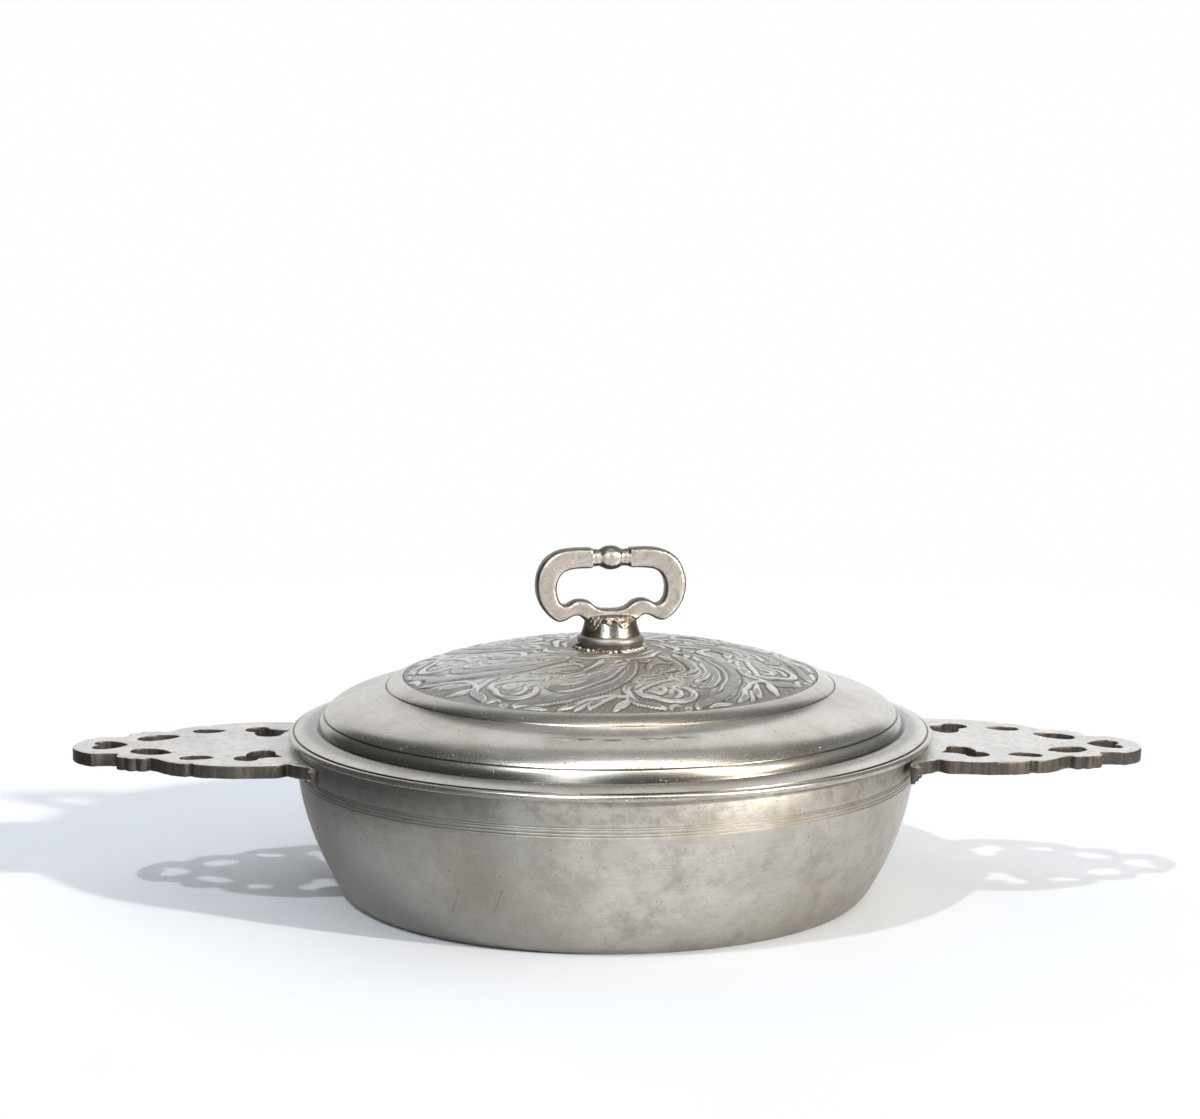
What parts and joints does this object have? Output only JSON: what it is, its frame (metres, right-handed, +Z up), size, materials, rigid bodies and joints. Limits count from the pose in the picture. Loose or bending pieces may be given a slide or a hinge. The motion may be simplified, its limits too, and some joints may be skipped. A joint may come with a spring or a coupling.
{
  "type": "covered eared bowl",
  "caption": "Covered eared pewter broth bowl: turned shell on a flat base, pierced flat ears, and a domed relief lid that lifts off by a loop handle.",
  "frame": {"origin": "centre of the base, on the surface that the bowl stands on", "axes": "+X from ear to ear, +Y away from the front, +Z up along the bowl's axis"},
  "size_m": [0.2985, 0.1786, 0.096],
  "materials": {
    "bowl_pewter": "worn satin pewter, grey with brown patches, fine pits and scratches",
    "lid_pewter": "worn turned pewter, polished on its mouldings",
    "relief_pewter": "cast relief, dark in the recesses and pale on the tops",
    "ear_pewter": "cast pewter, pale flat top and dark brown-grey edges",
    "handle_pewter": "cast pewter with pits, polished edges",
    "solder": "rough solder, bright on its bumps"
  },
  "bodies": {
    "bowl": {"bowl_shell": "bowl_pewter", "ear_right": "ear_pewter", "ear_left": "ear_pewter", "ear_solder_right": "solder", "ear_solder_left": "solder"},
    "lid": {"lid_shell": "lid_pewter", "relief_panel": "relief_pewter", "lid_bezel": "lid_pewter", "handle_socket": "handle_pewter", "socket_solder": "solder", "loop_solder": "solder", "handle_loop": "handle_pewter"}
  },
  "joints": [
    {"name": "lid_lift", "type": "slide", "parent": "bowl", "child": "lid", "axis": [0, 0, 1], "range_m": [0, 0.12]}
  ]
}
